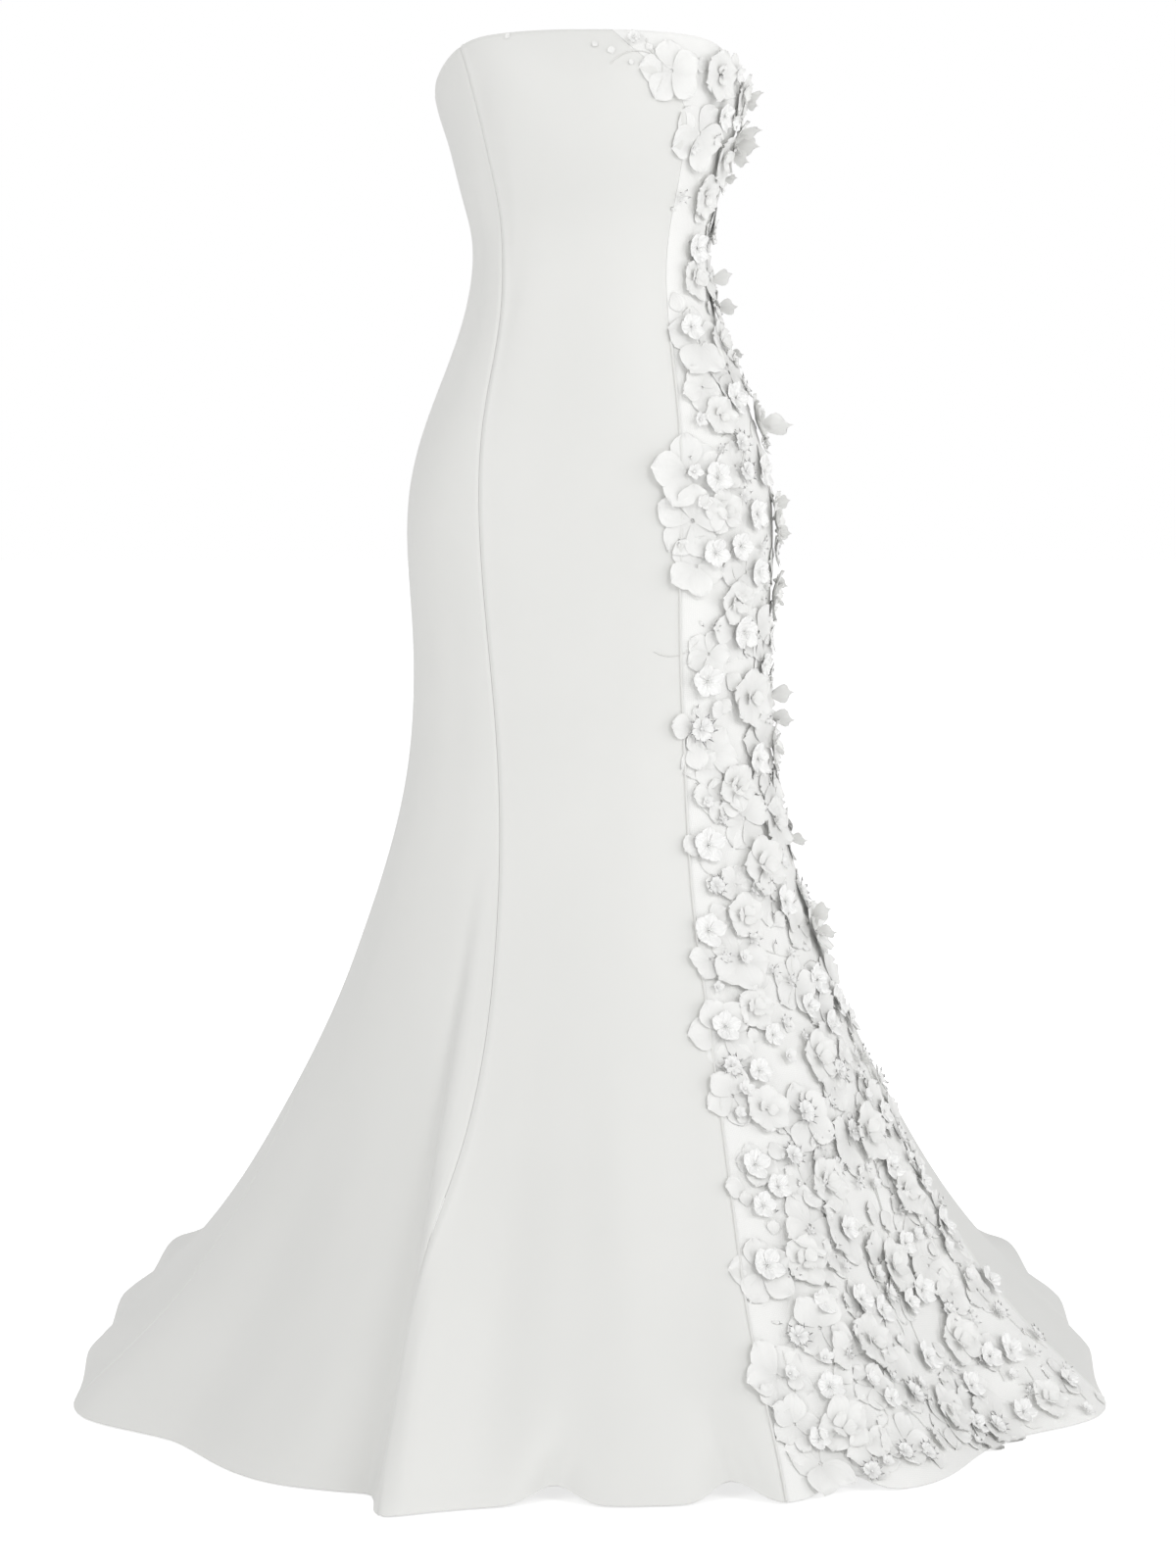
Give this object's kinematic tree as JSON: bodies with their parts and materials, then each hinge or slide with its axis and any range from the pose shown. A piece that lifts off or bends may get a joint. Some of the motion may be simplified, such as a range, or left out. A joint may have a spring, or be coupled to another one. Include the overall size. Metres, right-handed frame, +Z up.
{
  "type": "strapless mermaid gown",
  "caption": "Strapless floor-length gown, fitted to the knee and flared into a train, with a side front panel of raised flowers and a centre back zip.",
  "frame": {"origin": "middle of the waist, inside the gown, 1.12 m above the floor that the hem and train rest on", "axes": "+Z up, front of the gown towards -Y, train towards +Y, +X towards the wearer's left, where the flowers are"},
  "size_m": [1.0245, 1.7871, 1.3205],
  "materials": {
    "satin": "soft satin",
    "floral_tulle": "tulle and organza flowers over satin",
    "zip_tape": "woven tape",
    "zip_enamel": "white enamel"
  },
  "bodies": {
    "gown": {"center_front": "satin", "side_front": "satin", "side_front_floral": "floral_tulle", "side_back_left": "satin", "side_back_right": "satin", "center_back_left": "satin", "center_back_right": "satin", "zip_tape_left": "zip_tape", "zip_tape_right": "zip_tape", "zip_slider": "zip_enamel"},
    "zip_pull": {"zip_pull": "zip_enamel"}
  },
  "joints": [
    {"name": "zip_pull_hinge", "type": "hinge", "parent": "gown", "child": "zip_pull", "pos_m": [0, 0.10089, 0.087], "axis": [1, 0, 0], "range_deg": [-8, 165]}
  ]
}
